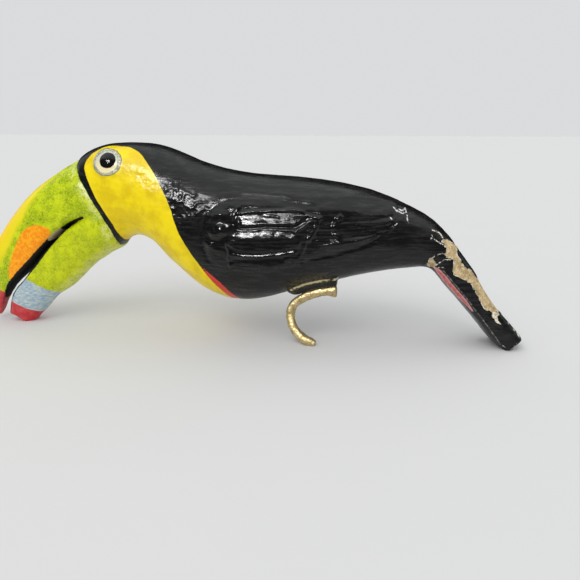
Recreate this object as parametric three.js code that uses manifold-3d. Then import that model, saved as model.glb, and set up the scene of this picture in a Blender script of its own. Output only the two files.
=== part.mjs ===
// A hand-painted papier-mache toucan with one brass claw foot, standing on bill, foot and tail.
// Millimetres. +X runs from the bill to the tail, -Y is the bird's left side, +Z is up, floor at 0.
import * as THREE from 'three';
import { mergeVertices } from 'three/addons/utils/BufferGeometryUtils.js';
import Module from 'manifold-3d';

// ---------------------------------------------------------------- driving dimensions
const FLOOR_Z = 0;
const ORIGIN_SHIFT_X = -1.7; // moves the bird so that its box is centred on X = 0
const GAP = 0.3; // clearance between the brass foot and the body it is set into

// A rib is one cross-section of the figure: its upper and lower point on the side profile as
// [x, z], its half width, and the roundness of its upper half. 2 is an ellipse, more is boxier.
const BODY_RIBS = [
  { top: [-110, 118], bottom: [-92, 82], half: 14, round: 2.2 },
  { top: [-107, 126.6], bottom: [-81, 66.8], half: 20.5, round: 2.6 },
  { top: [-92, 134.2], bottom: [-74.5, 69.6], half: 23.8, round: 2.9 },
  { top: [-73, 136.3], bottom: [-67, 71.3], half: 26.2, round: 2.8 },
  { top: [-54, 135.4], bottom: [-55.4, 65.8], half: 28, round: 2.5 },
  { top: [-38, 130.8], bottom: [-46.4, 55.4], half: 29.5, round: 2.3 },
  { top: [-22, 124.4], bottom: [-34.8, 43.8], half: 31, round: 2.2 },
  { top: [-6, 119.8], bottom: [-20, 32.8], half: 32, round: 2.2 },
  { top: [14, 116.3], bottom: [-1.4, 25.9], half: 32.5, round: 2.2 },
  { top: [34, 114.8], bottom: [20, 26.2], half: 32.5, round: 2.2 },
  { top: [56, 113.2], bottom: [44, 33.8], half: 31.5, round: 2.2 },
  { top: [77, 110.6], bottom: [68, 40.5], half: 29.5, round: 2.2 },
  { top: [97, 106], bottom: [91, 47], half: 26.5, round: 2.2 },
  { top: [116, 98.8], bottom: [112, 51.4], half: 23, round: 2.3 },
  { top: [133.4, 90.6], bottom: [127, 53.6], half: 20, round: 2.5 },
  { top: [147.4, 79.2], bottom: [136, 54.5], half: 17.5, round: 2.8 },
];
const BODY_ROUND_BELOW = 2;
const BODY_STEPS = 3; // rings from rib to rib
const BODY_SIDES = 40;

// The tail is a thick straight blade. Its ribs are given along its own slope: how far down the
// blade, and the heights of its underside and its back above a line through the origin.
const TAIL_SLOPE = THREE.MathUtils.degToRad(51.5);
const TAIL_TWIST = THREE.MathUtils.degToRad(10); // turns the underside a little to the left
const TAIL_RIBS = [
  { along: 45, under: 142.2, back: 164.9, half: 16 },
  { along: 60, under: 143.6, back: 163.6, half: 15 },
  { along: 76, under: 144.6, back: 162.2, half: 14.5 },
  { along: 92, under: 145.2, back: 161, half: 14.2 },
  { along: 108, under: 145.6, back: 161.8, half: 14.4 },
  { along: 120.4, under: 147, back: 162.4, half: 14.2 },
];
const TAIL_ROUND = 3.6; // boxy all the way down
const TAIL_ROOT = { round: 3.1, under: 2.8, twist: 0.5 }; // its first rib, softer and half turned

const BILL_STEPS = 2;
const BILL_SIDES = 24;
const UPPER_BILL_RIBS = [
  { top: [-98, 125], bottom: [-80, 84], half: 15 },
  { top: [-106, 124.4], bottom: [-89.6, 84.6], half: 21.4 },
  { top: [-115, 121.6], bottom: [-104.4, 82.8], half: 20.6 },
  { top: [-130.5, 113.2], bottom: [-119, 78.3], half: 18.4 },
  { top: [-148, 102], bottom: [-132.7, 67.7], half: 16.4 },
  { top: [-162, 89.5], bottom: [-144.3, 56.4], half: 14.4 },
  { top: [-175.5, 75], bottom: [-156.2, 44.5], half: 12.4 },
  { top: [-187, 60], bottom: [-166.8, 35.2], half: 10.4 },
  { top: [-195, 43.5], bottom: [-177, 26], half: 8.4 },
  { top: [-199.4, 23], bottom: [-184.8, 14], half: 6 },
  { top: [-198.2, 9.5], bottom: [-188, 6.4], half: 3.8 },
  { top: [-194.6, 2], bottom: [-190, 2.4], half: 1.4 },
];
const UPPER_BILL_SHAPE = { round: 2.1, under: 4, waist: 0.3 };
const LOWER_BILL_RIBS = [
  { top: [-80, 88], bottom: [-76, 74], half: 15 },
  { top: [-91, 92], bottom: [-84, 61.3], half: 21 },
  { top: [-106.4, 84.2], bottom: [-93.6, 56], half: 20 },
  { top: [-120.5, 75.8], bottom: [-105.3, 48], half: 17.6 },
  { top: [-132.4, 66], bottom: [-117.4, 37.3], half: 15.6 },
  { top: [-143.1, 55.9], bottom: [-128.3, 27.9], half: 13.8 },
  { top: [-152.8, 45.9], bottom: [-138.5, 22], half: 12.2 },
  { top: [-163.4, 34.6], bottom: [-147.5, 13], half: 10.9 },
  { top: [-175.4, 22.4], bottom: [-155.5, 4.8], half: 9.8 },
  { top: [-180, 6.6], bottom: [-163, -2], half: 8.4 },
];
const LOWER_BILL_SHAPE = { round: 3.6, under: 2.3, waist: 0.66 };

// The folded wing stands proud of each flank inside this outline, from shoulder to tip and back.
const WING_OUTLINE = [
  [-14, 82], [-5, 100], [25, 106], [70, 105], [101, 100],
  [116, 87], [103, 71], [66, 60], [25, 52], [-5, 61],
];
const WING_LIFT = 1.8;
const WING_EDGE = 9; // how far in from the outline the wing reaches its full height
const MOSTLY_SIDEWAYS = new THREE.Vector3(0.5, 1.6, 0.5);

// A low round swelling under each painted eye: its centre, how far out, and which way it faces.
const EYE = { at: [-80, 123.8], out: 21, radius: 11, dome: 3.2, tilt: 22, yaw: 5 };

// The foot is one bent brass bar: a stub along the belly, then a claw that curls down to the floor.
const FOOT_PATH = [
  [76, -13, 37], [70, -13, 36.9], [62, -13, 35.2], [54, -13, 31.9], [47.2, -13.4, 27.2],
  [44.2, -14.6, 20.4], [45.4, -17, 13.4], [49.8, -19.6, 7.2], [56, -22, 3.2], [63, -24, 1.9],
];
const FOOT_THICK = 3.2; // half the bar's height
const FOOT_WIDE = 3; // half the bar's width
const FOOT_STEPS = 34;
const FOOT_SIDES = 12;
const FOOT_SQUARENESS = 0.75; // 1 is a round bar, 0 a square one
const STUB_FLARE = { wider: 1.25, share: 0.12 }; // the bar's rear end is beaten deeper
const CLAW_TAPER = { narrower: 0.65, share: 0.07 }; // and its tip is filed down
// The underside of the painted pad that joins bar and belly, rising at both ends.
const PAD_PATH = [[42, 35.2], [46, 33.4], [51, 34], [56, 36], [62, 38.3], [70, 40.1], [76.5, 40.6]];
const PAD_HALF = 4.6;
const PAD_HEIGHT = 14;
const PAD_ROUND = 3;
const PAD_STEPS = 2;
const PAD_SIDES = 16;

// ---------------------------------------------------------------- shape helpers
const side = ([x, z]) => new THREE.Vector3(x, 0, z);

// Closes a list of rings, each a list of as many points, into one solid with flat ends.
function skin(rings) {
  const count = rings[0].length;
  const points = rings.flat();
  const faces = [];
  for (let r = 0; r + 1 < rings.length; r++) {
    for (let i = 0; i < count; i++) {
      const [a, b] = [r * count + i, r * count + ((i + 1) % count)];
      faces.push(a, b, b + count, a, b + count, a + count);
    }
  }
  const addCap = (first, flip) => {
    const centre = new THREE.Vector3();
    for (let i = 0; i < count; i++) centre.addScaledVector(points[first + i], 1 / count);
    points.push(centre);
    for (let i = 0; i < count; i++) {
      const [a, b] = [first + i, first + ((i + 1) % count)];
      faces.push(points.length - 1, ...(flip ? [b, a] : [a, b]));
    }
  };
  addCap(0, true);
  addCap((rings.length - 1) * count, false);
  let volume = 0;
  for (let f = 0; f < faces.length; f += 3) {
    const [a, b, c] = faces.slice(f, f + 3).map((k) => points[k]);
    volume += a.dot(b.clone().cross(c));
  }
  const geometry = new THREE.BufferGeometry().setFromPoints(points);
  geometry.setIndex(volume > 0 ? faces : faces.reverse());
  return geometry;
}

// A ring around one rib. round above and below its widest line may differ, and waist is where
// that line lies between bottom 0 and top 1.
function ribRing({ top, bottom, half, round, under = round, waist = 0.5, twist = 0 }, count) {
  const up = top.clone().sub(bottom);
  const height = up.length();
  up.normalize();
  const centre = bottom.clone().addScaledVector(up, height * waist);
  const across = new THREE.Vector3(0, -1, 0);
  const turn = new THREE.Quaternion().setFromAxisAngle(up.clone().cross(across).normalize(), twist);
  up.applyQuaternion(turn);
  across.applyQuaternion(turn);
  return Array.from({ length: count }, (_, i) => {
    const angle = (2 * Math.PI * i) / count;
    const [c, s] = [Math.cos(angle), Math.sin(angle)];
    const power = 2 / (s >= 0 ? round : under);
    const reach = height * (s >= 0 ? 1 - waist : waist);
    return centre.clone()
      .addScaledVector(across, half * Math.sign(c) * Math.abs(c) ** power)
      .addScaledVector(up, reach * Math.sign(s) * Math.abs(s) ** power);
  });
}

// A smooth value through the given ones, at t from 0 to 1.
function smoothValue(values, t) {
  const curve = new THREE.SplineCurve(values.map((value, i) => new THREE.Vector2(i, value)));
  return curve.getPoint(t).y;
}

// Smooth rings through all the ribs, with steps rings from each rib to the next.
function ribRings(ribs, steps, count) {
  const tops = new THREE.CatmullRomCurve3(ribs.map((r) => side(r.top)));
  const bottoms = new THREE.CatmullRomCurve3(ribs.map((r) => side(r.bottom)));
  const last = steps * (ribs.length - 1);
  return Array.from({ length: last + 1 }, (_, i) => {
    const rib = { top: tops.getPoint(i / last), bottom: bottoms.getPoint(i / last) };
    for (const key of ['half', 'round', 'under', 'waist', 'twist']) {
      if (ribs[0][key] !== undefined) rib[key] = smoothValue(ribs.map((r) => r[key]), i / last);
    }
    return ribRing(rib, count);
  });
}

// Distance of a side-view point from a closed outline, positive inside it.
function depthInside(x, z, outline) {
  let inside = false;
  let nearest = Infinity;
  outline.forEach((a, i) => {
    const b = outline[(i + 1) % outline.length];
    if ((a.z > z) !== (b.z > z) && x < a.x + ((b.x - a.x) * (z - a.z)) / (b.z - a.z)) inside = !inside;
    const [ex, ez] = [b.x - a.x, b.z - a.z];
    const t = THREE.MathUtils.clamp(((x - a.x) * ex + (z - a.z) * ez) / (ex * ex + ez * ez), 0, 1);
    nearest = Math.min(nearest, Math.hypot(x - a.x - t * ex, z - a.z - t * ez));
  });
  return inside ? nearest : -nearest;
}

// ---------------------------------------------------------------- solids
const wasm = await Module();
wasm.setup();

function toSolid(geometry) {
  const bare = geometry.clone().toNonIndexed();
  bare.deleteAttribute('normal');
  bare.deleteAttribute('uv');
  const merged = mergeVertices(bare, 1e-4);
  return new wasm.Manifold(new wasm.Mesh({
    numProp: 3, vertProperties: merged.attributes.position.array, triVerts: merged.index.array,
  }));
}

function toGeometry(solid) {
  const { vertProperties, triVerts, numProp } = solid.getMesh();
  const geometry = new THREE.BufferGeometry();
  geometry.setAttribute('position', new THREE.BufferAttribute(vertProperties, numProp));
  geometry.setIndex(new THREE.BufferAttribute(triVerts, 1));
  geometry.computeVertexNormals();
  return geometry;
}

function bodyAndTail() {
  const down = new THREE.Vector2(Math.cos(TAIL_SLOPE), -Math.sin(TAIL_SLOPE));
  const out = new THREE.Vector2(Math.sin(TAIL_SLOPE), Math.cos(TAIL_SLOPE));
  const at = (along, height) => [
    down.x * along + out.x * height, down.y * along + out.y * height];
  const body = BODY_RIBS.map((rib) => ({ ...rib, under: BODY_ROUND_BELOW, twist: 0 }));
  const tail = TAIL_RIBS.map(({ along, under, back, half }, i) => {
    const form = i ? { round: TAIL_ROUND, under: TAIL_ROUND, twist: 1 } : TAIL_ROOT;
    return { top: at(along, back), bottom: at(along, under), half, ...form,
      twist: -TAIL_TWIST * form.twist };
  });
  const rings = ribRings([...body, ...tail], BODY_STEPS, BODY_SIDES);
  const outline = new THREE.CatmullRomCurve3(WING_OUTLINE.map(side), true).getPoints(60).slice(1);
  for (const ring of rings) {
    const centre = ring.reduce((sum, p) => sum.addScaledVector(p, 1 / ring.length), side([0, 0]));
    for (const point of ring) {
      const depth = depthInside(point.x, point.z, outline);
      const lift = WING_LIFT * THREE.MathUtils.smoothstep(depth, 0, WING_EDGE);
      const outward = point.clone().sub(centre).multiply(MOSTLY_SIDEWAYS).normalize();
      point.addScaledVector(outward, lift);
    }
  }
  return skin(rings);
}

function mandible(ribs, shape) {
  return skin(ribRings(ribs.map((rib) => ({ ...rib, ...shape })), BILL_STEPS, BILL_SIDES));
}

// A low oval dome lying against the side of the head, on the side that sign gives.
function eyeDome(sign) {
  const dome = new THREE.SphereGeometry(1, 18, 10);
  dome.scale(EYE.radius, EYE.dome, EYE.radius);
  dome.rotateX(THREE.MathUtils.degToRad(-EYE.tilt));
  dome.rotateZ(THREE.MathUtils.degToRad(-EYE.yaw));
  dome.translate(EYE.at[0], -EYE.out, EYE.at[1]);
  if (sign < 0) return toSolid(dome);
  return toSolid(dome).mirror([0, 1, 0]);
}

// The bar's outline swept along its path. grow makes it fatter all round, for the seat it lies in.
function footBar(grow = 0) {
  const path = new THREE.CatmullRomCurve3(FOOT_PATH.map((p) => new THREE.Vector3(...p)));
  const rings = Array.from({ length: FOOT_STEPS + 1 }, (_, i) => {
    const t = i / FOOT_STEPS;
    const centre = path.getPointAt(t);
    const along = path.getTangentAt(t);
    const across = new THREE.Vector3(0, 1, 0).addScaledVector(along, -along.y).normalize();
    const up = across.clone().cross(along);
    const atStub = 1 - THREE.MathUtils.smoothstep(t, 0, STUB_FLARE.share);
    const atTip = THREE.MathUtils.smoothstep(t, 1 - CLAW_TAPER.share, 1);
    const flare = THREE.MathUtils.lerp(1, STUB_FLARE.wider, atStub);
    const tip = THREE.MathUtils.lerp(1, CLAW_TAPER.narrower, atTip);
    return Array.from({ length: FOOT_SIDES }, (_, k) => {
      const angle = (2 * Math.PI * k) / FOOT_SIDES;
      const [c, s] = [Math.cos(angle), Math.sin(angle)];
      const box = (v) => Math.sign(v) * Math.abs(v) ** FOOT_SQUARENESS;
      return centre.clone()
        .addScaledVector(across, (FOOT_WIDE * tip + grow) * box(c))
        .addScaledVector(up, (FOOT_THICK * tip * flare + grow) * box(s));
    });
  });
  return skin(rings);
}

// The painted pad between the belly and the bar.
function footPad() {
  const ribs = PAD_PATH.map(([x, z]) => (
    { top: [x, z + PAD_HEIGHT], bottom: [x, z], half: PAD_HALF, round: PAD_ROUND }));
  const pad = skin(ribRings(ribs, PAD_STEPS, PAD_SIDES));
  pad.translate(0, FOOT_PATH[0][1], 0);
  return pad;
}

const FLOOR_SIZE = [600, 200, 60];
const underFloor = toSolid(new THREE.BoxGeometry(...FLOOR_SIZE)
  .translate(0, 0, FLOOR_Z - FLOOR_SIZE[2] / 2));

const birdSolid = toSolid(bodyAndTail())
  .add(toSolid(mandible(UPPER_BILL_RIBS, UPPER_BILL_SHAPE)))
  .add(toSolid(mandible(LOWER_BILL_RIBS, LOWER_BILL_SHAPE)))
  .add(eyeDome(-1))
  .add(eyeDome(1))
  .add(toSolid(footPad()))
  .subtract(toSolid(footBar(GAP)))
  .subtract(underFloor);
const footSolid = toSolid(footBar()).subtract(underFloor);

// ---------------------------------------------------------------- the figure
function named(name, solid, look) {
  const mesh = new THREE.Mesh(toGeometry(solid), new THREE.MeshStandardMaterial(look));
  mesh.name = name;
  return mesh;
}

const toucan = new THREE.Group();
toucan.position.x = ORIGIN_SHIFT_X;
toucan.add(
  named('papier_mache_bird', birdSolid, { color: 0x14130f, roughness: 0.25, metalness: 0 }),
  named('brass_foot', footSolid, { color: 0xb59a5a, roughness: 0.42, metalness: 1 }),
);

export default toucan;
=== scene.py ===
"""The looks of a hand-painted papier-mache toucan: moulded relief, painted coat, aged brass foot."""
import math

import bpy
import numpy as np
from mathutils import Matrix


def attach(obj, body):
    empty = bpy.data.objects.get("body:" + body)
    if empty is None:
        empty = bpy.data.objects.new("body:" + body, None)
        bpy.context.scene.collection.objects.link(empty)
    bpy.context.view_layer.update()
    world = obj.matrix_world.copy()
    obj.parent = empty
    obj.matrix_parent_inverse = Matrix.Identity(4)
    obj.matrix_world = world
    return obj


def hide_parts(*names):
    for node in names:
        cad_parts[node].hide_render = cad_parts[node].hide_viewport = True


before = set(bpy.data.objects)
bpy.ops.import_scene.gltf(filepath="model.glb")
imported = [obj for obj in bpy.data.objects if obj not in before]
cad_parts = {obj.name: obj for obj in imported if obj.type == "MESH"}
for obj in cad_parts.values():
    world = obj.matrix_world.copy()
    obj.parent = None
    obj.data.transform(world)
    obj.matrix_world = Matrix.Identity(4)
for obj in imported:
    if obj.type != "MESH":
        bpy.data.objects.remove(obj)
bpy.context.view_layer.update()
BIRD = "papier_mache_bird"
FOOT = "brass_foot"
MM = 0.001

# ------------------------------------------------------------------ drawn lines, in millimetres
# Every outline is a side view, [x, z], and is the same on both flanks unless its use says not.

# A feather stands out by one step all over. Below its lean_from line it rises further, by rise over reach.
FEATHERS = [
    {"outline": [(9.5, 84), (8.8, 91), (13, 94), (30, 95.6), (48, 96.4), (54, 94.6), (55, 90),
                 (49, 84.6), (38, 84.9), (27, 84.6), (18, 83.4)],
     "lean_from": [(8, 89), (18, 89), (27, 90), (38, 90.2), (49, 90.4), (56, 92)],
     "reach": 5.4, "rise": 0.8},
    {"outline": [(8, 68.4), (3.8, 71.2), (4.6, 76), (9, 80), (18, 81.2), (38, 81.6), (46, 81.4),
                 (51, 78), (52, 73), (47.4, 70.6), (38.6, 68.6), (26.8, 67), (18, 66.8)],
     "lean_from": [(3, 76.6), (10, 79.4), (18, 80.8), (38, 81.2), (50, 80.6)],
     "reach": 4.4, "rise": 0.95},
    {"outline": [(2, 57), (5, 61), (20, 61.4), (36, 63.5), (44, 61), (38, 56.5), (20, 53.5), (6, 53.5)],
     "lean_from": [(2, 61), (20, 61.4), (40, 63)],
     "reach": 5.0, "rise": 0.9},
]
SHOULDER_LUMPS = [
    [(-11, 86), (-9, 92), (-3, 95), (5, 93.5), (5.5, 88.5), (-1, 87), (-6, 85.5)],
    [(-10.5, 77), (-9.5, 83), (-4, 86.5), (2, 86), (5.5, 82.5), (5, 78), (-1, 74.5), (-6, 74)],
    [(-14, 66), (-12, 73), (-6, 74.5), (-2, 71.5), (-4, 66.5), (-9, 63.5)],
]
# Each ridge, groove and fold is a line, its half-width and its height or depth.
WING_RIDGES = [
    ([(10, 95.7), (8.7, 93.2), (6.8, 90.1), (7.2, 84.7), (7.8, 81.8), (6, 77.7), (3.2, 73.5), (3.4, 69.9),
      (5.5, 67.5), (3.5, 61.8)], 1.1, 1.0),
    ([(10.1, 88.8), (11.4, 86.5), (11.4, 83.7)], 0.9, 0.7),
    ([(10.6, 92.2), (15.9, 93.2), (22.9, 93.8), (30, 94.4), (38.1, 94.9), (48.5, 95.6), (53, 94.4)],
     1.0, 0.7),
    ([(28.9, 91.3), (35.4, 90.7), (39.6, 89.5)], 0.8, 0.35),
    ([(10.5, 81.7), (18.6, 81.9), (26.9, 82.3), (38.6, 82.5), (46.2, 82.2), (50.6, 79.1), (52, 75.5)],
     1.0, 0.75),
    ([(6.5, 65), (18.4, 64), (26.8, 64.2), (38.6, 66), (47.8, 68.2)], 1.2, 1.25),
    ([(55.4, 92.2), (59.2, 91.2), (64.2, 90.2)], 1.1, 1.0),
    ([(58, 88.6), (53.6, 85), (49.4, 81.6)], 1.4, 1.5),
    ([(63, 89.4), (61.9, 84.7), (60.2, 80.1), (57.4, 76.6)], 1.5, 1.5),
    ([(59.8, 88.6), (57.2, 80.6), (55, 74.2), (52.8, 68.4), (49.5, 62)], 0.8, 0.9),
    ([(76.5, 91.4), (75.2, 89.8), (73.6, 88), (73.1, 84.3), (74.5, 79.8), (77, 77)], 1.15, 1.0),
    ([(74.6, 89.6), (76.6, 88.6), (78.4, 90.6)], 0.9, 0.8),
    ([(66.5, 71.7), (72.2, 73), (80, 74.4), (92, 77), (100, 79.4)], 1.5, 1.2),
    ([(42, 62.8), (45, 64.6), (48.6, 63.8), (45.4, 62)], 1.3, 1.2),
]
WING_GROOVES = [
    ([(10.8, 82.8), (18.6, 83), (26.9, 83.8), (38.6, 84.1), (49, 84), (55.3, 87.6)], 0.8, 0.9),
    ([(66, 88), (84, 88.6), (98, 89.4), (110, 91)], 1.3, 0.7),
    ([(64, 81.6), (80, 82), (97, 83.6), (109, 86)], 1.4, 0.9),
    ([(60, 77), (76, 77.6), (92, 79.2), (104, 81.6)], 1.3, 0.8),
    ([(51.2, 61), (64.3, 64), (80.5, 68.3), (93.2, 72.4), (105.8, 79.4), (110, 85.4)], 2.0, 1.1),
    ([(52, 60), (40, 54), (24, 50), (6, 49), (-8, 55), (-15, 66), (-16, 80), (-12, 93)], 2.4, 0.6),
    ([(-9.4, 93.8), (-3.5, 98), (4.6, 100.6), (20.2, 100.8), (37.9, 100), (61.2, 97.8)], 1.7, 0.5),
]
WING = [(-15, 66), (-13, 82), (-9, 95), (4, 99), (38, 98.4), (61, 96), (80, 96), (108, 93),
        (112, 86), (104, 78), (80, 67), (51, 59), (24, 51), (4, 50), (-9, 56)]
BACK_FOLDS = [
    ([(11.8, 105.1), (25, 104.7), (37, 104.1), (48.8, 103.5), (66.2, 103), (76, 103.4),
      (96, 102.4), (112, 98)], 1.3, 0.5),
    ([(40, 103.4), (46.1, 101.9), (58, 99.9)], 1.3, 0.2),
]
CRUMPLE = [(-45, 112), (-36, 112), (-26, 106), (-11, 102), (-9, 95), (-13, 89), (-22, 82),
           (-29, 76), (-37, 88), (-41, 100)]
TAIL_KEEL = [(144.8, 55.3), (153.9, 45.1), (163.5, 34), (169.1, 26.8), (176.1, 18.3), (183.2, 9),
             (186.2, 4.8)]

# The paint's borders. What none of them covers is black.
BAND_FRONT = [(-113, 127), (-110.4, 121.4), (-107.6, 116.3), (-104.6, 110.3), (-99.6, 103.8), (-95.6, 96.4),
              (-90.4, 86.6), (-85.2, 76.6), (-84, 70), (-84.1, 63), (-86, 50)]
BILL = [*BAND_FRONT, (-120, -10), (-230, -10), (-230, 140), (-112, 140)]
FACE = [
    (-101, 119.9), (-100.4, 117), (-97.3, 109.3), (-92.7, 99.2), (-87.7, 90.3), (-82.6, 79.1),
    (-80.3, 68.5), (-80, 55), (-60, 34), (-30, 14), (0, 8), (8, 14), (4, 24), (-2.4, 31.6),
    (-10.7, 42.9), (-18.8, 55.8), (-25.5, 66.4), (-32.2, 79.4), (-36.4, 95.3), (-41.9, 106.9),
    (-47.8, 116.5), (-56.8, 127.8), (-63.9, 132.2), (-70, 133.6), (-82.9, 134.3), (-89.6, 132.5),
    (-95.2, 129.2), (-99.4, 124.6),
]
BREAST_RED = [(-19.2, 56.3), (-15.4, 53), (-6.2, 44.4), (-0.2, 35.8), (4.2, 29.6), (9, 20), (2, 18),
              (-2.4, 31.6), (-10.7, 42.9)]
CULMEN = [(-122, 118), (-134.4, 107), (-139.1, 102.6), (-144.3, 96.8), (-148.9, 91), (-153.8, 83.4),
          (-159.3, 76), (-165, 68.6), (-170.5, 60.5), (-178, 50), (-184.5, 40), (-189.5, 30),
          (-192, 15), (-215, 15), (-215, 80), (-150, 130), (-122, 140)]
ORANGE = [(-146.5, 78.2), (-138.6, 77.6), (-132.6, 74.9), (-134.6, 70), (-142, 61), (-158, 46),
          (-174.5, 32), (-175.6, 37), (-174, 44), (-170.2, 52), (-162.5, 65.4), (-155, 74)]
MOUTH = [(-106.5, 84.5), (-113, 82), (-121, 77.6), (-132.5, 68.4), (-143.5, 58), (-154, 47.4),
         (-166.5, 36.4), (-178.4, 24.4), (-183.6, 8), (-185, -6)]
# How wide the black lips are on each side of the mouth line: (x, half-width).
LIP = [(-111, 1.0), (-120, 1.5), (-135, 2.6), (-150, 3.6), (-165, 4.2), (-176, 4.2), (-185, 4.2)]
LOWER_BILL = [*MOUTH, (-120, -10), (-70, 20), (-70, 84)]
CHIN = [(-83, 63), (-93.6, 55.4), (-105.3, 47.2), (-117.4, 36.5), (-128.3, 27), (-138.5, 21)]
BARE_LIP = [(-125.4, 77.4), (-127, 73.6), (-137, 65), (-138.4, 67.2)]
BLUE = [(-170, 38.5), (-161.6, 35.5), (-153.1, 32.2), (-145.9, 28.4), (-139.1, 25), (-130, 19.5),
        (-130, -10), (-190, -10), (-190, 38)]
LOWER_TIP = [(-190, 22), (-178, 17.5), (-171, 14), (-165.4, 11.6), (-156.3, 8.4), (-149, 5.6),
             (-144, 1), (-142, -10), (-190, -10)]
UPPER_TIP = [(-176, 18.5), (-182.4, 22.6), (-190, 27.6), (-215, 42), (-215, -10), (-176, -10)]
VENT = [(139.6, 57.4), (144.8, 54.2), (150, 47.7), (155.4, 41.9), (162.2, 34.2), (167.4, 26.6),
        (166.4, 26.4), (162, 30.6), (156.8, 35), (150, 42.2), (143.6, 49.8), (138.6, 56)]
FLAKE = [
    (142.4, 74.7), (143.4, 76.3), (147, 74.9), (152.8, 71.4), (154, 69), (152.6, 67), (155.1, 63),
    (158.4, 58), (163.4, 54.2), (167.4, 50), (171.5, 46.5), (175, 43.4), (180, 37.6), (184.4, 32),
    (186.4, 27.6), (184.1, 26.2), (180.4, 27.8), (179.1, 27.5), (175.1, 29), (171, 33.6),
    (169.5, 36.2), (167.3, 41.4), (163.7, 47.2), (158.5, 49.8),
    (152.3, 53), (151.1, 57.5), (150.7, 62.7), (147.5, 63.3), (145.5, 65.9), (145.8, 70.3),
]
FLAKE_ARM = [(135.4, 63.4), (137.4, 64.2), (137.8, 61.4), (140.2, 59.2), (139.2, 57), (136.6, 56.9),
             (132.6, 57.4), (135.6, 59.8)]
TIP_CHIP = [(179.3, 27.5), (183.4, 26.6), (184.8, 25.4), (182.2, 24.2), (182.9, 21.8), (185.2, 19.1),
            (181.8, 20.9), (179.8, 23.8)]
CRACK_HALF = 0.3
CRACKS = [
    [(135.4, 78), (138, 76), (140.6, 74.2), (143.5, 72.8)],
    [(135.9, 80), (136.6, 77.4), (135.2, 76.6)],
    [(136.2, 81.9), (140.4, 80.2), (142.4, 78.4), (143.6, 76.1)],
    [(136.1, 63.1), (139.9, 66), (143.5, 67.1), (146, 66.9)],
    [(139.7, 58.2), (142.2, 60.6), (144.8, 62.8), (149.4, 62.7)],
    [(141.4, 56.6), (144.4, 57.4), (146.6, 56.2)],
    [(190.6, 19.4), (191, 18.8)],
    [(194.4, 14.9), (195.4, 13.9)],
    [(197.2, 12), (199, 9.6)],
    [(188, 3.8), (189.9, 2.7)],
    [(195.5, 4.1), (197, 5.6)],
]
# Small pale marks on the lacquer above the tail.
PALE_MARKS = [
    [(113.9, 95), (116.2, 94), (118, 95.2), (119, 93), (116.4, 92.4), (114, 93.6)],
    [(111.8, 85.6), (114.2, 87.4)],
    [(119.4, 91.4), (119.6, 89.4), (120.4, 86.8)],
    [(110.4, 96.4), (111.6, 95), (113.2, 94)],
    [(108.4, 90.6), (109.6, 89.4)],
]
# The flake stops this far past the ridge of the tail, on the right side.
FLAKE_EDGE_Y = 9

EYE_AT = (-82.0, 123.6)
PUPIL_AT = (-81.1, 124.9)
EYE_RADII = {"pupil": 5.8, "iris": 8.1, "ring": 10.7}
# The eye and its pupil are wider than they are high, because the dome leans.
EYE_STRETCH = 1.2
PUPIL_STRETCH = 1.15

# The painted pad over the brass bar, in x, y and z.
PAD_BOX = ((38, 80), (-20, -6), (24, 47))
OVERSPRAY = [(41, 36), (48, 43), (57, 46), (66, 47.4)]
PAD_LINE = [(43, 37.6), (46, 39.4), (53, 42.4), (63, 45), (75, 46.8)]

# The fine meshes, and the light and the colours of the stage.
BIRD_VOXEL = 0.78
BIRD_TRIANGLES = 188_000
BIRD_RELAX_ROUNDS = 60
FOOT_VOXEL = 0.33
FOOT_RELAX_ROUNDS = 22
LACQUER_IOR = 1.36
WALL_LIGHT = 0.72
CEILING_LIGHT = 1.25
FLOOR_COLOUR = (0.625, 0.62, 0.615)
CARD_COLOUR = (0.004, 0.004, 0.004)
FLOOR_REACH = 6.0
CARD_SIDE = 1.3
CARD_NEAR = 0.13
CARD_FAR = 0.75
CARD_BACK = 0.15
CARD_TOP = 1.0
CARD_LIFT = 0.0006


# ------------------------------------------------------------------ numbers on points
def smoothstep(low, high, value):
    share = np.clip((value - low) / (high - low), 0, 1)
    return share * share * (3 - 2 * share)


def rounded(line, closed=True, rounds=2):
    """Cuts the corners of a drawn line, so that it runs in soft bends."""
    points = np.array(line, float)
    for _ in range(rounds):
        after = np.roll(points, -1, axis=0) if closed else points[1:]
        before = points if closed else points[:-1]
        cut = np.stack([0.75 * before + 0.25 * after, 0.25 * before + 0.75 * after], 1)
        cut = cut.reshape(-1, 2)
        points = cut if closed else np.vstack([points[:1], cut, points[-1:]])
    return points


def line_distance(flat, line):
    """How far side-view points are from a drawn line."""
    nearest = np.full(len(flat), 1e9)
    for a, b in zip(line, line[1:]):
        edge = np.subtract(b, a)
        share = np.clip(((flat - a) @ edge) / max(edge @ edge, 1e-9), 0, 1)
        offset = flat - a - share[:, None] * edge
        nearest = np.minimum(nearest, np.hypot(offset[:, 0], offset[:, 1]))
    return nearest


def depth_inside(flat, outline):
    """How far side-view points are inside a closed outline, negative outside it."""
    closed = np.vstack([outline, outline[:1]])
    inside = np.zeros(len(flat), bool)
    for (ax, az), (bx, bz) in zip(closed, closed[1:]):
        if az == bz:
            continue
        level = (az > flat[:, 1]) != (bz > flat[:, 1])
        inside ^= level & (flat[:, 0] < ax + (bx - ax) * (flat[:, 1] - az) / (bz - az))
    return np.where(inside, 1, -1) * line_distance(flat, closed)


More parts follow.
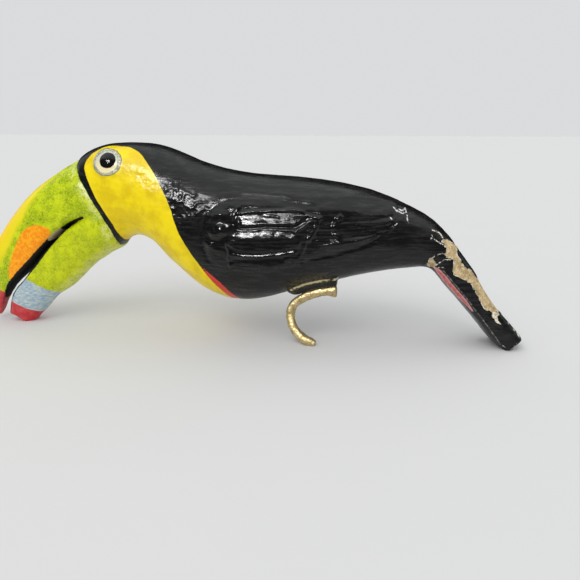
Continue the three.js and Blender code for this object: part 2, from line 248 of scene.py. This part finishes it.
def value_noise(points, size, seed=0):
    """Smooth noise from -1 to 1 whose lumps are about size across; size may differ by axis."""
    scaled = points / np.array(size, float) + 31.7 * (seed + 1)
    cell = np.floor(scaled).astype(np.int64)
    share = scaled - cell
    share = share * share * (3 - 2 * share)
    total = np.zeros(len(points))
    for corner in np.ndindex(2, 2, 2):
        at = cell + corner
        mixed = at[:, 0] * 73856093 ^ at[:, 1] * 19349663 ^ at[:, 2] * 83492791
        mixed = (mixed ^ (mixed >> 13)) * 1274126177 & 0x7FFFFFFF
        value = ((mixed ^ (mixed >> 16)) & 0xFFFF) / 32767.5 - 1
        weight = np.prod(np.where(corner, share, 1 - share), axis=1)
        total += weight * value
    return total


def creases(points, size, seed=0):
    """Noise with sharp crests, like crumpled paper, from 0 to 1."""
    folds = 1 - np.abs(value_noise(points, size, seed))
    finer = 1 - np.abs(value_noise(points, np.multiply(size, 0.47), seed + 7))
    return (folds**3 + 0.5 * finer**3) / 1.5


# ------------------------------------------------------------------ meshes
def mesh_arrays(mesh):
    points = np.empty(len(mesh.vertices) * 3, np.float32)
    mesh.vertices.foreach_get("co", points)
    return points.reshape(-1, 3).astype(float) / MM


def set_points(mesh, points):
    mesh.vertices.foreach_set("co", (points * MM).astype(np.float32).ravel())
    mesh.update()


def normals_of(mesh):
    normals = np.empty(len(mesh.vertices) * 3, np.float32)
    mesh.vertex_normals.foreach_get("vector", normals)
    return normals.reshape(-1, 3).astype(float)


def with_modifier(piece, kind, **settings):
    """Applies one modifier to the piece's own mesh."""
    modifier = piece.modifiers.new(kind.lower(), kind)
    for key, value in settings.items():
        setattr(modifier, key, value)
    bpy.context.view_layer.update()
    evaluated = piece.evaluated_get(bpy.context.evaluated_depsgraph_get())
    mesh = bpy.data.meshes.new_from_object(evaluated)
    piece.modifiers.clear()
    piece.data = mesh


def relax(points, mesh, strength, rounds):
    """Moves each point towards the middle of its neighbours, by its own strength, over and over."""
    edges = np.empty(len(mesh.edges) * 2, np.int32)
    mesh.edges.foreach_get("vertices", edges)
    a, b = edges.reshape(-1, 2).T
    count = np.bincount(a, minlength=len(points)) + np.bincount(b, minlength=len(points))
    for _ in range(rounds):
        for axis in range(3):
            column = points[:, axis]
            total = np.bincount(a, column[b], len(points)) + np.bincount(b, column[a], len(points))
            points[:, axis] = column + strength * (total / count - column)
    return points


def fine_copy(node, name, voxel):
    """A finely and evenly meshed copy of a CAD node."""
    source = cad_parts[node]
    piece = bpy.data.objects.new(name, source.data.copy())
    bpy.context.scene.collection.objects.link(piece)
    piece.data.materials.clear()
    with_modifier(piece, "REMESH", mode="VOXEL", voxel_size=voxel * MM)
    return piece


def finish_piece(piece, node, material):
    piece.data.materials.clear()
    piece.data.materials.append(material)
    piece.data.polygons.foreach_set("use_smooth", [True] * len(piece.data.polygons))
    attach(piece, "root")
    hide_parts(node)


# ------------------------------------------------------------------ the bird's relief
def softness(points):
    """How freely each point may relax: fully on the body, hardly at the lips, tail and pad."""
    x, y, z = points.T
    flat = points[:, [0, 2]]
    free = np.where(x < -84, 0.3, 1.0)
    free *= 1 - 0.85 * smoothstep(132, 150, x)
    free *= 1 - 0.93 * smoothstep(9, 3, line_distance(flat, MOUTH)) * (x < -104)
    pad_gap = np.maximum.reduce([np.abs(v - (lo + hi) / 2) - (hi - lo) / 2
                                 for v, (lo, hi) in zip((x, y, z), PAD_BOX)])
    free *= smoothstep(0, 6, pad_gap) * 0.97 + 0.03
    return free * smoothstep(0.3, 3, z)


def wing_relief(points, normals):
    """The folded wing's feathers, cords and grooves, moulded on both flanks."""
    flat = points[:, [0, 2]]
    flat = flat + 0.45 * np.stack([value_noise(points, 9, 3), value_noise(points, 7, 4)], 1)
    lumps = 0.75 + 0.35 * value_noise(points, 4.0, 8)
    height = np.zeros(len(points))
    for feather in FEATHERS:
        depth = depth_inside(flat, rounded(feather["outline"]))
        start = np.interp(flat[:, 0], *np.transpose(feather["lean_from"]))
        lean = np.clip((start - flat[:, 1]) / feather["reach"], 0, 1)
        height += (0.7 + feather["rise"] * lean) * smoothstep(-0.7, 1.1, depth)
    for outline in SHOULDER_LUMPS:
        depth = depth_inside(flat, rounded(outline))
        height += 2.4 * smoothstep(-0.8, 5.6, depth) * lumps
    for line, width, rise in WING_RIDGES:
        away = line_distance(flat, rounded(line, False))
        height += rise * np.exp(-((away / width) ** 2)) * (0.6 + 0.5 * lumps)
    for line, width, fall in WING_GROOVES:
        height -= fall * np.exp(-((line_distance(flat, rounded(line, False)) / width) ** 2))
    moulded = smoothstep(-3, 2.5, depth_inside(flat, rounded(WING)))
    uneven = 0.20 * value_noise(points, (6.5, 3.5, 3.2), 15)
    uneven += 0.10 * value_noise(points, (3.2, 2, 1.9), 16)
    height += moulded * uneven
    return height * smoothstep(0.2, 0.6, np.abs(normals[:, 1]))


def body_relief(points, normals):
    """Lumps, paper folds and brush marks of a hand-laid surface."""
    flat = points[:, [0, 2]]
    x, y, z = points.T
    height = 0.55 * value_noise(points, 27, 1) + 0.2 * value_noise(points, 11, 2)
    height += 0.07 * value_noise(points, (14, 2.6, 2.6), 5) + 0.05 * value_noise(points, 3.2, 6)
    crumple = smoothstep(-3, 4, depth_inside(flat, rounded(CRUMPLE)))
    height += crumple * (1.0 * creases(points, 4.2, 9) + 0.3 * creases(points, 2.2, 10) - 0.4)
    chipped = np.exp(-(((x - 114) / 7) ** 2) - ((z - 92) / 6) ** 2)
    height += 0.7 * chipped * (creases(points, 3.2, 12) - 0.3)
    shoulder = np.exp(-(((x + 5) / 9) ** 2) - ((z - 80) / 17) ** 2)
    height += 0.7 * shoulder * (creases(points, 3.8, 14) - 0.4)
    face = smoothstep(-1, 4, depth_inside(flat, rounded(FACE)))
    height += face * (0.17 * value_noise(points, (4.5, 3, 2.8), 17) + 0.09 * value_noise(points, 2.0, 18))
    throat = np.exp(-(((x + 54) / 14) ** 2) - ((z - 112) / 9) ** 2)
    height += 1.0 * face * throat * (creases(points, 4.4, 19) - 0.4)
    bill = smoothstep(-1, 4, depth_inside(flat, rounded(BILL)))
    height += bill * (0.10 * value_noise(points, 3.4, 21) + 0.05 * value_noise(points, 1.8, 22))
    for line, width, rise in BACK_FOLDS:
        height += rise * np.exp(-((line_distance(flat, rounded(line, False)) / width) ** 2)) * (y < 4)
    height += 0.5 * np.exp(-((line_distance(flat, TAIL_KEEL) / 1.0) ** 2)) * (y < 0)
    band = line_distance(flat, rounded(BAND_FRONT, False))
    height += 0.45 * np.exp(-(((band - 2.2) / 1.8) ** 2))
    return height


def eye_radius(points, centre, stretch):
    """How far each point is from the eye's centre, in side view."""
    x, _, z = points.T
    return np.hypot(x - centre[0], (z - centre[1]) * stretch)


def eye_relief(points):
    """The painted ring's thick rim and the pupil's dome."""
    wavy = eye_radius(points, EYE_AT, EYE_STRETCH) + 0.25 * value_noise(points, 5, 20)
    rim = 0.4 * np.exp(-(((wavy - 9.6) / 1.0) ** 2))
    across = eye_radius(points, PUPIL_AT, PUPIL_STRETCH) / EYE_RADII["pupil"]
    return rim + 1.6 * np.clip(1 - across**2, 0, 1)


def flake_depth(points):
    """How deep a point lies inside the place where lacquer and paint have flaked off the tail."""
    flat = points[:, [0, 2]]
    ragged = 0.7 * value_noise(points, 2.6, 30) + 0.35 * value_noise(points, 1.2, 31)
    whole = np.max([depth_inside(flat, np.array(outline, float))
                    for outline in (FLAKE, FLAKE_ARM, TIP_CHIP)], axis=0)
    return np.minimum(whole, FLAKE_EDGE_Y - points[:, 1]) + ragged


def flake_relief(points):
    """The coat's curled edge and, below it, the bare rough paper."""
    depth = flake_depth(points)
    gone = smoothstep(-0.25, 0.45, depth)
    curl = 0.25 * np.exp(-(((depth + 0.9) / 0.8) ** 2))
    paper = 0.22 * (creases(points, 2.4, 33) - 0.5)
    return curl - gone * (0.42 - paper)


# ------------------------------------------------------------------ the bird's painted fields
def lip_depth(flat):
    """The black painted lips: the mouth line, wider towards the tip."""
    half = np.interp(-flat[:, 0], [-x for x, _ in LIP], [width for _, width in LIP])
    return half - line_distance(flat, rounded(MOUTH, False))


def painted_fields(points):
    """Millimetres inside each painted area, for every point, negative outside it."""
    flat = points[:, [0, 2]]
    x, y, z = points.T

    def area(outline):
        return depth_inside(flat, rounded(outline))

    lower = depth_inside(flat, np.array(LOWER_BILL, float))
    cracks = np.min([line_distance(flat, line) for line in CRACKS], axis=0)
    pale_marks = np.min([line_distance(flat, line) for line in PALE_MARKS], axis=0)
    on_pad = (np.abs(y + 13) < 7) & (np.abs(x - 58) < 19)
    return {
        "bill": area(BILL),
        "face": area(FACE),
        "breast_red": area(BREAST_RED),
        "culmen": np.minimum(area(CULMEN), -lower),
        "orange": np.minimum(area(ORANGE), -lower),
        "mouth_line": lip_depth(flat),
        "underside": np.where(x < -84, line_distance(flat, CHIN), 99.0),
        "lower_bill": lower,
        "bare_lip": np.minimum(area(BARE_LIP), -y / 4),
        "blue": np.minimum(area(BLUE), lower),
        "bill_tips": np.maximum(np.minimum(area(LOWER_TIP), lower),
                                np.minimum(area(UPPER_TIP), -lower)),
        "eye": eye_radius(points, EYE_AT, EYE_STRETCH),
        "iris_height": z - EYE_AT[1],
        "pupil": EYE_RADII["pupil"] - eye_radius(points, PUPIL_AT, PUPIL_STRETCH),
        "vent": area(VENT),
        "wing": depth_inside(flat, rounded(WING)),
        "flake": flake_depth(points),
        "tip_chip": depth_inside(flat, np.array(TIP_CHIP, float)),
        "cracks": np.where(y < 2, CRACK_HALF - cracks, -5.0),
        "keel": CRACK_HALF - line_distance(flat, TAIL_KEEL),
        "pale_marks": np.where(y < 2, CRACK_HALF - pale_marks, -5.0),
        "overspray": -line_distance(flat, OVERSPRAY),
        "pad_line": np.where(on_pad, 0.7 - line_distance(flat, PAD_LINE), -5.0),
    }


def store_fields(mesh, fields):
    for name, values in fields.items():
        attribute = mesh.attributes.new(name, "FLOAT", "POINT")
        attribute.data.foreach_set("value", np.asarray(values, np.float32))


# ------------------------------------------------------------------ materials
class Paint:
    """A material's node tree, built up in layers."""

    def __init__(self, name):
        self.material = bpy.data.materials.new(name)
        self.material.use_nodes = True
        self.tree = self.material.node_tree
        self.tree.nodes.clear()
        coordinates = self.node("TexCoord")
        self.place = self.node("VectorMath", {0: coordinates.outputs["Object"], 3: 1 / MM},
                               operation="SCALE").outputs[0]

    def node(self, kind, inputs=None, **settings):
        made = self.tree.nodes.new("ShaderNode" + kind)
        for key, value in settings.items():
            setattr(made, key, value)
        for key, value in (inputs or {}).items():
            if isinstance(value, bpy.types.NodeSocket):
                self.tree.links.new(value, made.inputs[key])
            else:
                made.inputs[key].default_value = value
        return made

    def math(self, operation, a, b=0.0):
        return self.node("Math", {0: a, 1: b}, operation=operation).outputs[0]

    def times(self, a, b):
        return self.math("MULTIPLY", a, b)

    def noise(self, size, detail=3.0, rough=0.55, shift=0.0, warp=0.0):
        """Noise from 0 to 1 with lumps size millimetres across; size may be one value per axis."""
        sizes = size if isinstance(size, tuple) else (size,) * 3
        scaled = self.node("Mapping", {"Vector": self.place, "Location": (shift,) * 3,
                                       "Scale": tuple(1 / s for s in sizes)})
        return self.node("TexNoise", {"Vector": scaled.outputs[0], "Scale": 1.0, "Detail": detail,
                                      "Roughness": rough, "Distortion": warp}).outputs["Fac"]

    def field(self, name):
        return self.node("Attribute", attribute_name=name).outputs["Fac"]

    def ramp(self, value, low, high, smooth=True):
        """0 below low, 1 above high; low may be above high."""
        kind = "SMOOTHSTEP" if smooth else "LINEAR"
        return self.node("MapRange", {"Value": value, "From Min": low, "From Max": high},
                         interpolation_type=kind).outputs[0]

    def inside(self, name, soft=0.25, wobble=0.5, size=3.0, start=0.0):
        """1 inside a painted field and 0 outside it, with a hand-painted edge."""
        drift = self.times(self.math("SUBTRACT", self.noise(size, 2.0), 0.5), 2 * wobble)
        depth = self.math("ADD", self.field(name), drift)
        return self.ramp(depth, start - soft, start + soft)

    def mix(self, share, under, over):
        """A colour over another, by its share."""
        made = self.node("Mix", {0: share}, data_type="RGBA")
        for socket, colour in ((made.inputs[6], under), (made.inputs[7], over)):
            if isinstance(colour, bpy.types.NodeSocket):
                self.tree.links.new(colour, socket)
            else:
                socket.default_value = (*colour, 1)
        return made.outputs[2]

    def blend(self, share, under, over):
        """The same for plain numbers."""
        return self.node("Mix", {0: share, 2: under, 3: over}).outputs[0]

    def finish(self, colour, roughness, bump, bump_depth, **shader):
        """Ends the tree in one Principled shader. bump_depth is in millimetres."""
        lumps = self.node("Bump", {"Height": bump, "Strength": 1.0, "Distance": bump_depth * MM})
        surface = self.node("BsdfPrincipled", {"Base Color": colour, "Roughness": roughness,
                                               "Normal": lumps.outputs[0], **shader})
        output = self.node("OutputMaterial")
        self.tree.links.new(surface.outputs[0], output.inputs[0])
        return self.material


def bill_colours(paint):
    """Green bill, speckled, paler in patches near the band and along its underside, with its yellow ridge,
    orange flame, blue and red ends.
    """
    blotches = paint.noise(8, 4.0, 0.6, 3)
    speckle = paint.noise(1.15, 3.0, 0.65, 8)
    pale_specks = paint.noise(1.6, 3.0, 0.65, 28)
    colour = paint.mix(paint.ramp(blotches, 0.36, 0.66), (0.36, 0.47, 0.002), (0.58, 0.67, 0.003))
    colour = paint.mix(paint.times(paint.ramp(pale_specks, 0.52, 0.66), 0.5), colour, (0.70, 0.76, 0.012))
    olive = paint.times(paint.ramp(speckle, 0.50, 0.62), paint.ramp(blotches, 0.72, 0.42))
    colour = paint.mix(paint.times(olive, 0.8), colour, (0.15, 0.23, 0.003))
    patch_noise = paint.ramp(paint.noise(2.4, 4.0, 0.65, 21), 0.38, 0.60)
    near_band = paint.times(paint.ramp(paint.field("bill"), 10, 1),
                            paint.ramp(paint.noise(13, 1.0, 0.5, 23), 0.40, 0.56))
    under = paint.ramp(paint.field("underside"), 9, 2)
    # Paler in patches near the black band and along the underside of the lower bill.
    paler_patches = paint.times(paint.math("MAXIMUM", near_band, under), patch_noise)
    colour = paint.mix(paint.times(paler_patches, 0.85), colour, (0.74, 0.76, 0.30))
    lower = paint.times(paint.ramp(paint.field("lower_bill"), -1, 2), 0.28)
    colour = paint.mix(lower, colour, (0.62, 0.62, 0.002))
    ridge = paint.inside("culmen", 2.6, 2.4, 7.0, 0.6)
    golden = paint.mix(paint.ramp(paint.field("culmen"), 2, 16), (0.80, 0.68, 0.006), (0.95, 0.58, 0.006))
    colour = paint.mix(ridge, colour, golden)
    dabs = paint.ramp(paint.noise(2.2, 4.0, 0.65, 12), 0.38, 0.66)
    flame = paint.mix(dabs, (0.92, 0.25, 0.001), (1.0, 0.45, 0.003))
    colour = paint.mix(paint.inside("orange", 0.6, 0.9, 4.0), colour, flame)
    scratched = paint.noise((3.4, 3.4, 1.1), 4.0, 0.65, 17)
    blue = paint.mix(paint.ramp(scratched, 0.40, 0.64), (0.27, 0.38, 0.50), (0.54, 0.60, 0.53))
    colour = paint.mix(paint.inside("blue", 0.3, 0.7, 3.0), colour, blue)
    red = paint.mix(paint.ramp(blotches, 0.4, 0.65), (0.50, 0.03, 0.04), (0.58, 0.075, 0.075))
    colour = paint.mix(paint.inside("bill_tips", 0.3, 0.6, 3.0), colour, red)
    return paint.mix(paint.inside("mouth_line", 0.25, 0.5, 2.5), colour, (0.006, 0.006, 0.005))


def eye_colours(paint, colour):
    """Grey ring, cream iris and black pupil, over what lies under them."""
    around = paint.math("ADD", paint.field("eye"),
                        paint.times(paint.math("SUBTRACT", paint.noise(4, 2.0), 0.5), 1.6))
    smudge = paint.noise(1.8, 4.0, 0.7, 41)
    ring = paint.mix(paint.ramp(smudge, 0.38, 0.62), (0.24, 0.25, 0.19), (0.58, 0.57, 0.44))
    iris = paint.mix(paint.ramp(paint.field("iris_height"), -5, 6), (0.84, 0.72, 0.40), (0.50, 0.52, 0.46))
    iris = paint.mix(paint.times(paint.ramp(smudge, 0.5, 0.7), 0.5), iris, (0.86, 0.82, 0.66))
    ring_edge, iris_edge = EYE_RADII["ring"], EYE_RADII["iris"]
    colour = paint.mix(paint.ramp(around, ring_edge + 0.35, ring_edge + 0.05), colour, (0.16, 0.16, 0.05))
    colour = paint.mix(paint.ramp(around, ring_edge - 0.05, ring_edge - 0.5), colour, ring)
    colour = paint.mix(paint.ramp(around, iris_edge + 0.4, iris_edge - 0.3), colour, iris)
    return paint.mix(paint.inside("pupil", 0.2, 0.3, 2.5), colour, (0.008, 0.007, 0.006))


def wear_and_keel_highlight(paint, colour):
    """Bare paper and primer where the tail's coat has chipped off, and a painted highlight along the tail's
    keel.
    """
    fibres = paint.noise(2.6, 5.0, 0.7, 51)
    paper = paint.mix(paint.ramp(fibres, 0.36, 0.66), (0.33, 0.235, 0.115), (0.66, 0.51, 0.29))
    stained = paint.ramp(paint.noise(5, 4.0, 0.65, 53), 0.52, 0.72)
    paper = paint.mix(paint.times(stained, 0.7), paper, (0.24, 0.18, 0.08))
    specks = paint.ramp(paint.noise(1.1, 3.0, 0.6, 55), 0.58, 0.68)
    paper = paint.mix(paint.times(specks, 0.75), paper, (0.10, 0.08, 0.045))
    # Painted highlight: a broken pale grey line along the tail's keel, where its ridge catches the light.
    highlight_breaks = paint.ramp(paint.noise(2.2, 4.0, 0.65, 58), 0.36, 0.60)
    painted_keel_highlight = paint.times(paint.inside("keel", 0.35, 0.6, 1.5), highlight_breaks)
    colour = paint.mix(painted_keel_highlight, colour, (0.22, 0.22, 0.21))
    primer = paint.mix(paint.ramp(fibres, 0.42, 0.60), (0.44, 0.36, 0.22), (0.80, 0.76, 0.62))
    paper = paint.mix(paint.inside("tip_chip", 0.3, 0.5, 1.5), paper, primer)
    depth = paint.field("flake")
    patchy = paint.ramp(paint.noise(3.0, 3.0, 0.6, 57), 0.40, 0.60)
    rim = paint.times(paint.ramp(depth, -0.42, -0.2), patchy)
    colour = paint.mix(rim, colour, (0.74, 0.70, 0.62))
    colour = paint.mix(paint.ramp(depth, -0.1, 0.15), colour, paper)
    colour = paint.mix(paint.inside("cracks", 0.12, 0.55, 1.1), colour, (0.66, 0.62, 0.54))
    # Small pale marks on the lacquer above the tail.
    return paint.mix(paint.inside("pale_marks", 0.12, 0.55, 1.1), colour, (0.62, 0.62, 0.60))


def painted_paper():
    """Everything painted on the bird, under one clear lacquer."""
    paint = Paint("painted_papier_mache")
    streaks = paint.noise((15, 4.0, 1.6), 4.0, 0.62, 1)
    broad = paint.noise(22, 2.0, 0.5, 2)
    colour = paint.mix(paint.ramp(streaks, 0.45, 0.72), (0.007, 0.007, 0.0072), (0.024, 0.024, 0.023))
    patches = paint.ramp(paint.noise(13, 4.0, 0.6, 6), 0.38, 0.64)
    yellow = paint.mix(patches, (0.76, 0.55, 0.001), (0.90, 0.70, 0.002))
    grime = paint.ramp(paint.noise(1.8, 5.0, 0.7, 7), 0.60, 0.74)
    dirty = paint.ramp(paint.noise(16, 2.0, 0.5, 9), 0.42, 0.62)
    yellow = paint.mix(paint.times(paint.times(grime, dirty), 0.6), yellow, (0.42, 0.33, 0.01))
    colour = paint.mix(paint.inside("face", 0.22, 0.45, 5.0), colour, yellow)
    colour = paint.mix(paint.inside("breast_red", 0.25, 0.5, 4.0), colour, (0.62, 0.045, 0.03))
    colour = paint.mix(paint.inside("bill", 0.22, 0.5, 3.0), colour, bill_colours(paint))
    colour = paint.mix(paint.inside("bare_lip", 0.3, 0.5, 2.0), colour, (0.44, 0.36, 0.24))
    colour = eye_colours(paint, colour)
    rosy = paint.ramp(paint.noise(1.7, 4.0, 0.65, 31), 0.40, 0.66)
    vent = paint.mix(rosy, (0.52, 0.07, 0.07), (0.66, 0.20, 0.19))
    thin = paint.math("ADD", paint.field("vent"), paint.times(paint.noise(2.4, 3.0, 0.6, 35), 2.4))
    vent = paint.mix(paint.times(paint.ramp(thin, 2.6, 1.4), 0.75), vent, (0.66, 0.36, 0.35))
    colour = paint.mix(paint.inside("vent", 0.35, 0.6, 3.0), colour, vent)
    dusted = paint.times(paint.ramp(paint.field("overspray"), -7, -1),
                         paint.ramp(paint.noise(2.2, 4.0, 0.65, 33), 0.36, 0.64))
    colour = paint.mix(paint.times(dusted, 0.8), colour, (0.085, 0.072, 0.035))
    colour = paint.mix(paint.inside("pad_line", 0.25, 0.6, 2.0), colour, (0.46, 0.38, 0.20))
    colour = wear_and_keel_highlight(paint, colour)
    bare = paint.ramp(paint.field("flake"), -0.2, 0.2)
    moulded = paint.ramp(paint.field("wing"), -3, 2)
    rough = paint.blend(paint.ramp(broad, 0.35, 0.65), 0.17, 0.30)
    rough = paint.blend(moulded, rough, 0.075)
    rough = paint.blend(paint.ramp(paint.field("face"), -1, 1), rough, 0.26)
    rough = paint.blend(paint.ramp(paint.field("bill"), -1, 1), rough, 0.30)
    rough = paint.blend(paint.ramp(paint.field("pupil"), -0.3, 0.3), rough, 0.06)
    rough = paint.math("ADD", rough, paint.times(paint.noise(1.6, 4.0, 0.6, 61), 0.08))
    rough = paint.blend(bare, rough, 0.85)
    rough = paint.blend(paint.ramp(paint.field("mouth_line"), -0.2, 0.4), rough, 0.8)
    lengthwise = paint.noise((9, 1.6, 1.2), 4.0, 0.55, 62)
    dabbed = paint.noise(1.7, 4.0, 0.6, 64)
    on_bill = paint.ramp(paint.math("MAXIMUM", paint.field("bill"), paint.field("face")), -1, 1)
    brush = paint.blend(paint.math("MAXIMUM", on_bill, moulded), lengthwise, dabbed)
    pores = paint.noise(0.9, 3.0, 0.6, 63)
    bump = paint.math("ADD", brush, paint.times(pores, 0.25))
    return paint.finish(colour, rough, bump, 0.15, IOR=LACQUER_IOR)


def aged_brass():
    """Dull hand-beaten brass, mottled pinkish, with dark tarnish spots and paler patches scattered by
    noise.
    """
    paint = Paint("aged_brass")
    patch_noise = paint.noise(4, 4.0, 0.6, 2)
    tarnish = paint.noise(1.2, 5.0, 0.7, 9)
    colour = paint.mix(paint.ramp(patch_noise, 0.36, 0.64), (0.44, 0.36, 0.15), (0.66, 0.57, 0.30))
    pinkish = paint.times(paint.ramp(paint.noise(2.1, 4.0, 0.65, 5), 0.48, 0.60), 0.8)
    colour = paint.mix(pinkish, colour, (0.62, 0.42, 0.24))
    spots = paint.times(paint.ramp(tarnish, 0.50, 0.64), 0.7)
    colour = paint.mix(spots, colour, (0.19, 0.14, 0.045))
    pale = paint.times(paint.ramp(paint.noise(2.4, 4.0, 0.7, 14), 0.58, 0.75), 0.6)
    colour = paint.mix(pale, colour, (0.80, 0.76, 0.62))
    rough = paint.blend(paint.ramp(tarnish, 0.4, 0.7), 0.36, 0.68)
    bump = paint.math("ADD", paint.noise(1.1, 4.0, 0.6, 3), paint.noise((3, 0.5, 0.5), 3.0, 0.6, 4))
    return paint.finish(colour, rough, bump, 0.18, Metallic=0.75)


# ------------------------------------------------------------------ pieces
def make_bird():
    piece = fine_copy(BIRD, "painted_bird", BIRD_VOXEL)
    mesh = piece.data
    points = mesh_arrays(mesh)
    points = relax(points, mesh, 0.6 * softness(points), BIRD_RELAX_ROUNDS)
    set_points(mesh, points)
    normals = normals_of(mesh)
    height = wing_relief(points, normals) + body_relief(points, normals)
    height += eye_relief(points) + flake_relief(points)
    height *= smoothstep(0.2, 4, points[:, 2])
    set_points(mesh, points + height[:, None] * normals)
    triangles = sum(len(polygon.vertices) - 2 for polygon in mesh.polygons)
    with_modifier(piece, "DECIMATE", ratio=min(1.0, BIRD_TRIANGLES / triangles))
    mesh = piece.data
    store_fields(mesh, painted_fields(mesh_arrays(mesh)))
    finish_piece(piece, BIRD, painted_paper())


def make_foot():
    piece = fine_copy(FOOT, "brass_claw", FOOT_VOXEL)
    mesh = piece.data
    points = mesh_arrays(mesh)
    grip = smoothstep(0.1, 1.5, points[:, 2])
    points = relax(points, mesh, 0.6 * grip, FOOT_RELAX_ROUNDS)
    set_points(mesh, points)
    normals = normals_of(mesh)
    height = 0.30 * value_noise(points, 4.2, 1) + 0.14 * value_noise(points, 1.7, 2)
    beaten = smoothstep(64, 73, points[:, 0]) * smoothstep(28, 34, points[:, 2])
    height += beaten * (0.5 * creases(points, 2.6, 3) - 0.1)
    set_points(mesh, points + (height * grip)[:, None] * normals)
    finish_piece(piece, FOOT, aged_brass())


# ------------------------------------------------------------------ stage
def plain_material(name, colour, roughness):
    paint = Paint(name)
    mottle = paint.noise(60, 3.0, 0.5)
    shade = paint.mix(mottle, tuple(c * 0.985 for c in colour), colour)
    return paint.finish(shade, roughness, paint.noise(2.0), 0.01, **{"Specular IOR Level": 0.0})


def stage_plane(name, corners, material):
    mesh = bpy.data.meshes.new(name)
    mesh.from_pydata(corners, [], [tuple(range(len(corners)))])
    mesh.materials.append(material)
    plane = bpy.data.objects.new(name, mesh)
    bpy.context.scene.collection.objects.link(plane)
    return plane


def glint_lamp():
    """A narrow lamp that shows only in the lacquer, as white glints."""
    at, aim = (-0.190, -0.615, 0.455), (0, 0, 0.085)
    data = bpy.data.lights.new("lamp", "AREA")
    data.shape = "RECTANGLE"
    data.size, data.size_y = 0.26, 0.045
    data.energy = 6.0
    lamp = bpy.data.objects.new("lamp", data)
    lamp.location = at
    x, y, z = np.subtract(aim, at)
    down = math.acos(-z / math.hypot(x, y, z))
    lamp.rotation_euler = (down, 0, math.atan2(y, x) - math.pi / 2)
    lamp.visible_diffuse = False
    bpy.context.scene.collection.objects.link(lamp)


def sun(name, azimuth, height, spread, strength):
    """Wide soft light from a bearing round from the front, in degrees. It isn't seen in the lacquer."""
    data = bpy.data.lights.new(name, "SUN")
    data.energy = strength
    data.angle = math.radians(spread)
    light = bpy.data.objects.new(name, data)
    light.rotation_euler = (math.radians(90 - height), 0, math.radians(azimuth))
    light.visible_glossy = False
    bpy.context.scene.collection.objects.link(light)


def pale_world():
    """White walls all round and a brighter ceiling."""
    world = bpy.data.worlds.new("studio")
    world.use_nodes = True
    tree = world.node_tree
    background = tree.nodes["Background"]
    background.inputs["Color"].default_value = (0.97, 0.99, 1.0, 1)
    coordinates = tree.nodes.new("ShaderNodeTexCoord")
    parts = tree.nodes.new("ShaderNodeSeparateXYZ")
    rise = tree.nodes.new("ShaderNodeMapRange")
    blend = {"From Min": 0.35, "From Max": 0.95, "To Min": WALL_LIGHT, "To Max": CEILING_LIGHT}
    for name, value in blend.items():
        rise.inputs[name].default_value = value
    tree.links.new(coordinates.outputs["Generated"], parts.inputs[0])
    tree.links.new(parts.outputs["Z"], rise.inputs["Value"])
    tree.links.new(rise.outputs[0], background.inputs["Strength"])
    bpy.context.scene.world = world


def card_corners():
    """The black cards round the bird: one at each end, and along each side one lying and one standing."""
    for name, side in (("left_card", -CARD_SIDE), ("right_card", CARD_SIDE)):
        front, back = -CARD_FAR, CARD_BACK
        yield name, [(side, front, CARD_LIFT), (side, back, CARD_LIFT), (side, back, CARD_TOP),
                     (side, front, CARD_TOP)]
    for name, way in (("front_card", -1), ("back_card", 1)):
        near, far = CARD_NEAR * way, CARD_FAR * way
        yield f"{name}_lying", [(-CARD_SIDE, near, CARD_LIFT), (CARD_SIDE, near, CARD_LIFT),
                                (CARD_SIDE, far, CARD_LIFT), (-CARD_SIDE, far, CARD_LIFT)]
        yield f"{name}_standing", [(-CARD_SIDE, far, CARD_LIFT), (CARD_SIDE, far, CARD_LIFT),
                                   (CARD_SIDE, far, CARD_TOP), (-CARD_SIDE, far, CARD_TOP)]


def make_stage():
    reach = FLOOR_REACH
    square = [(-reach, -reach, 0), (reach, -reach, 0), (reach, reach, 0), (-reach, reach, 0)]
    stage_plane("floor", square, plain_material("pale_floor", FLOOR_COLOUR, 0.6))
    dark = plain_material("black_card", CARD_COLOUR, 0.9)
    for name, corners in card_corners():
        card = stage_plane(name, corners, dark)
        # A card darkens what the lacquer reflects, and does nothing else.
        card.visible_camera = False
        card.visible_diffuse = False
        card.visible_shadow = False
    pale_world()
    glint_lamp()
    sun("front_fill", -20, 46, 40, 0.8)
    sun("low_fill", 10, 16, 60, 0.4)


def make_camera():
    data = bpy.data.cameras.new("camera")
    data.sensor_width = 36
    data.lens = 36.62
    camera = bpy.data.objects.new("camera", data)
    camera.location = (0.10309, -0.40578, 0.15050)
    camera.rotation_euler = (math.radians(74), 0, math.radians(8.869))
    bpy.context.scene.collection.objects.link(camera)
    bpy.context.scene.camera = camera


bpy.context.scene.view_settings.view_transform = "Standard"
make_camera()
make_bird()
make_foot()
make_stage()
